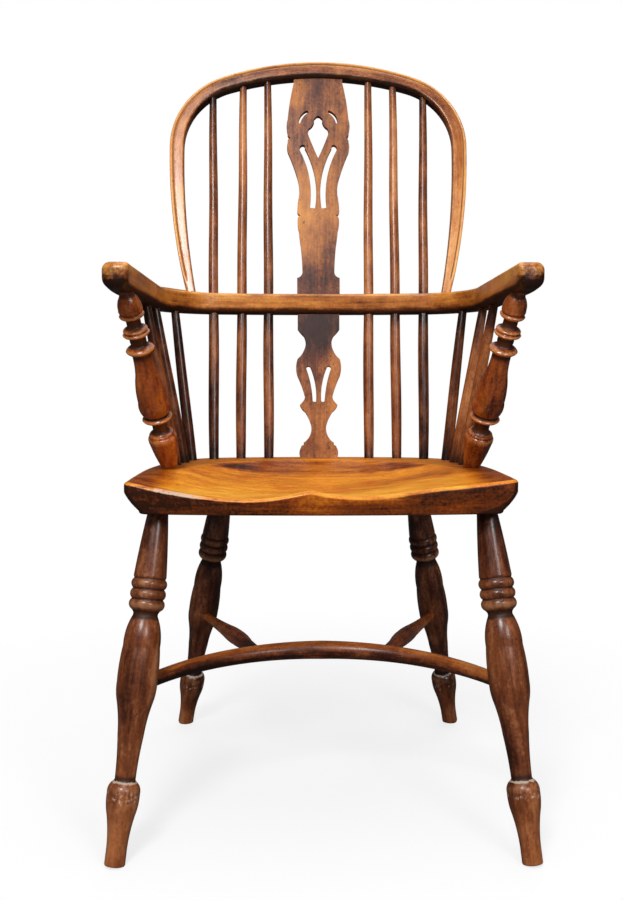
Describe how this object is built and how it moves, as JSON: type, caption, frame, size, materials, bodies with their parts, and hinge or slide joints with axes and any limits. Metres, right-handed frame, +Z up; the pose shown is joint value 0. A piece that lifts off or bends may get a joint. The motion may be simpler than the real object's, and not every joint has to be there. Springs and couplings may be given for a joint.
{
  "type": "windsor armchair",
  "caption": "Windsor armchair: saddled plank seat, turned splayed legs with a crinoline stretcher, arm bow, hooped back with sticks and pierced splats.",
  "frame": {"origin": "on the floor, under the centre of the chair's box", "axes": "+Z up, +Y to the back, +X to the sitter's left; the chair is symmetrical about X = 0"},
  "size_m": [0.531, 0.5388, 1.09],
  "materials": {
    "seat_wood": "waxed, golden with darker worn edges",
    "turned_wood": "dark polish, glossy",
    "bent_wood": "waxed, brown",
    "stick_wood": "waxed, reddish brown",
    "splat_wood": "waxed, mottled brown"
  },
  "bodies": {
    "root": {"arm_bow": "bent_wood", "arm_stick_left_1": "stick_wood", "arm_stick_left_2": "stick_wood", "arm_stick_left_3": "stick_wood", "arm_stick_right_1": "stick_wood", "arm_stick_right_2": "stick_wood", "arm_stick_right_3": "stick_wood", "arm_support_left": "turned_wood", "arm_support_right": "turned_wood", "back_hoop": "bent_wood", "back_stick_left_1": "stick_wood", "back_stick_left_2": "stick_wood", "back_stick_left_3": "stick_wood", "back_stick_right_1": "stick_wood", "back_stick_right_2": "stick_wood", "back_stick_right_3": "stick_wood", "leg_front_left": "turned_wood", "leg_front_right": "turned_wood", "leg_rear_left": "turned_wood", "leg_rear_right": "turned_wood", "seat": "seat_wood", "splat_lower": "splat_wood", "splat_upper": "splat_wood", "stretcher_bow": "bent_wood", "stretcher_spur_left": "turned_wood", "stretcher_spur_right": "turned_wood"}
  },
  "joints": []
}
